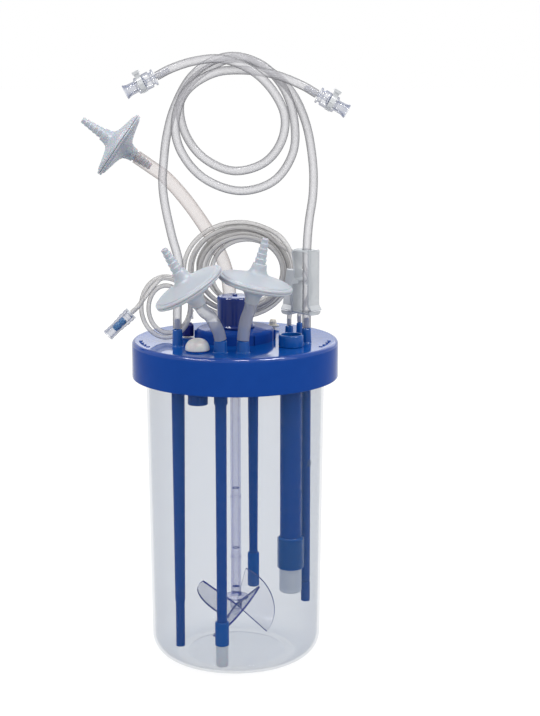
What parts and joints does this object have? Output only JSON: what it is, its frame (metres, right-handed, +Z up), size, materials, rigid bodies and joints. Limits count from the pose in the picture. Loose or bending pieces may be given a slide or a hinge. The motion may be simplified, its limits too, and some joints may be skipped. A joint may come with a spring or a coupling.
{
  "type": "bench bioreactor",
  "caption": "Clear stirred culture vessel under a blue moulded head plate with hose ports, vent filters, looped tubing, dip tubes, a probe sleeve and a pitched-blade impeller.",
  "frame": {"origin": "centre of the vessel's foot ring, on the ground", "axes": "+Z up along the agitator's shaft, -Y towards the front, where the two small vent filters hang, +X towards the probe port's side"},
  "size_m": [0.2478, 0.2112, 0.563],
  "materials": {
    "vessel_clear": "clear, polished",
    "plate_blue": "glossy moulded",
    "tower_navy": "glossy moulded",
    "bearing_white": "satin",
    "agitator_violet": "translucent, tinted",
    "tube_blue": "glossy extruded",
    "sinter_white": "porous sintered",
    "probe_frosted": "frosted",
    "ring_clear": "clear",
    "septum_white": "matt silicone",
    "plug_ivory": "matt silicone",
    "tab_grey": "matt silicone",
    "filter_milky": "milky moulded",
    "hose_clear": "clear silicone tubing",
    "coupling_clear": "clear moulded, faint tint",
    "latch_white": "satin moulded",
    "luer_white": "translucent moulded",
    "valve_blue": "satin moulded",
    "clamp_milky": "milky moulded"
  },
  "bodies": {
    "reactor": {"vessel": "vessel_clear", "head_plate": "plate_blue", "probe_gland": "plate_blue", "septum_guide": "tube_blue", "drive_tower": "tower_navy", "shaft_bearing": "bearing_white", "sample_dip_tube": "tube_blue", "sparge_tube": "tube_blue", "sparge_sleeve": "tube_blue", "sparger_collar": "tube_blue", "sparger_tip": "sinter_white", "level_dip_tube": "tube_blue", "level_tube_boot": "tube_blue", "harvest_dip_tube": "tube_blue", "harvest_tube_sleeve": "tube_blue", "probe_sleeve": "tube_blue", "probe_collar": "tube_blue", "probe_collar_ring": "ring_clear", "probe_membrane_cap": "probe_frosted", "septum": "septum_white", "rear_port_plug": "plug_ivory", "rear_plug_tab": "tab_grey", "left_filter_outer_shell": "filter_milky", "left_filter_inner_shell": "filter_milky", "right_filter_outer_shell": "filter_milky", "right_filter_inner_shell": "filter_milky", "exhaust_filter_outer_shell": "filter_milky", "exhaust_filter_inner_shell": "filter_milky", "sample_hose": "hose_clear", "medium_hose": "hose_clear", "exhaust_hose": "hose_clear", "gas_hose_left": "hose_clear", "gas_hose_right": "hose_clear", "feed_line_riser": "hose_clear", "base_line_riser": "hose_clear", "line_bundle": "hose_clear", "feed_line_link": "hose_clear", "line_loops": "hose_clear", "feed_line_end": "hose_clear", "base_line_end": "hose_clear", "left_coupling_body": "coupling_clear", "right_coupling_body": "coupling_clear", "luer_barb": "luer_white", "luer_valve_body": "coupling_clear", "base_line_luer": "luer_white", "medium_clamp_frame": "clamp_milky", "feed_clamp_frame": "clamp_milky"},
    "agitator": {"drive_coupling": "tower_navy", "shaft_upper": "agitator_violet", "shaft_middle": "agitator_violet", "shaft_lower": "agitator_violet", "impeller": "agitator_violet"},
    "spare_port_cap": {"feed_port_cap": "tower_navy"},
    "left_latch": {"left_coupling_latch": "latch_white"},
    "right_latch": {"right_coupling_latch": "latch_white"},
    "valve_piston": {"luer_valve_piston": "valve_blue"},
    "medium_lever": {"medium_clamp_lever": "clamp_milky"},
    "feed_lever": {"feed_clamp_lever": "clamp_milky"}
  },
  "joints": [
    {"name": "agitator_turn", "type": "hinge", "parent": "reactor", "child": "agitator", "pos_m": [0, 0, 0.3], "axis": [0, 0, 1], "continuous": true},
    {"name": "cap_turn", "type": "hinge", "parent": "reactor", "child": "spare_port_cap", "pos_m": [-0.044, 0.01, 0.31], "axis": [0, 0, 1], "range_deg": [0, 360]},
    {"name": "left_latch_press", "type": "slide", "parent": "reactor", "child": "left_latch", "axis": [0.456, 0, -0.89], "range_m": [0, 0.002], "stiffness_N_per_m": 400},
    {"name": "right_latch_press", "type": "slide", "parent": "reactor", "child": "right_latch", "axis": [-0.5, 0, -0.866], "range_m": [0, 0.002], "stiffness_N_per_m": 400},
    {"name": "valve_piston_press", "type": "slide", "parent": "reactor", "child": "valve_piston", "axis": [0.722, 0, 0.6919], "range_m": [0, 0.004], "stiffness_N_per_m": 300},
    {"name": "medium_clamp_swing", "type": "hinge", "parent": "reactor", "child": "medium_lever", "pos_m": [0.0707, -0.02655, 0.388], "axis": [-0.766, -0.6428, 0], "range_deg": [0, 22]},
    {"name": "feed_clamp_swing", "type": "hinge", "parent": "reactor", "child": "feed_lever", "pos_m": [0.05206, -0.0018, 0.36723], "axis": [-0.8617, 0.5, 0.0862], "range_deg": [0, 22]}
  ]
}
